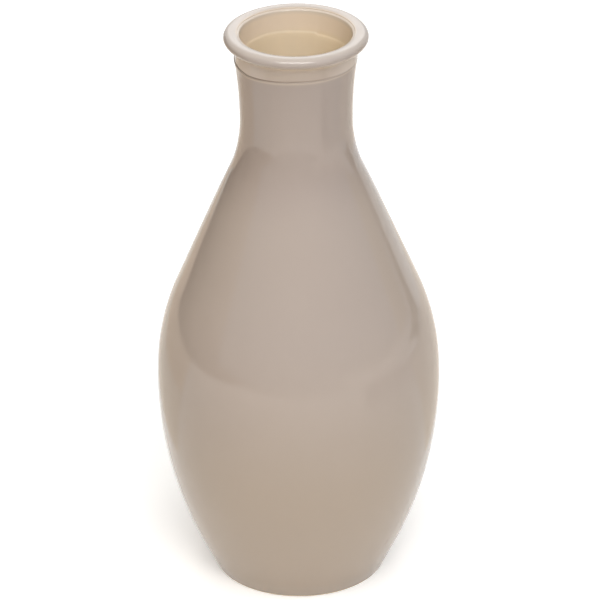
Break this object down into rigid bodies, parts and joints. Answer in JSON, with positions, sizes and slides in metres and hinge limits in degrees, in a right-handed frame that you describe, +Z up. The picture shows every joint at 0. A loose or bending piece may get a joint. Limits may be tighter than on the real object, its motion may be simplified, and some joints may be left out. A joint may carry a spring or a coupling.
{
  "type": "bottle vase",
  "caption": "Small glass bottle vase with a rounded belly, slim neck, flared collar and bead lip, in a glossy opaque colour coat.",
  "frame": {"origin": "centre of the base at the height of the table", "axes": "+Z up along the vase's axis of revolution; X and Y level and alike"},
  "size_m": [0.07, 0.07, 0.145],
  "materials": {
    "glass": "clear soda-lime glass, fire-polished, tinted here by the coat that shows through it",
    "colour_coat": "opaque warm taupe lacquer, sprayed and baked, glossy"
  },
  "bodies": {
    "root": {"glass_body": "glass", "colour_coat": "colour_coat"}
  },
  "joints": []
}
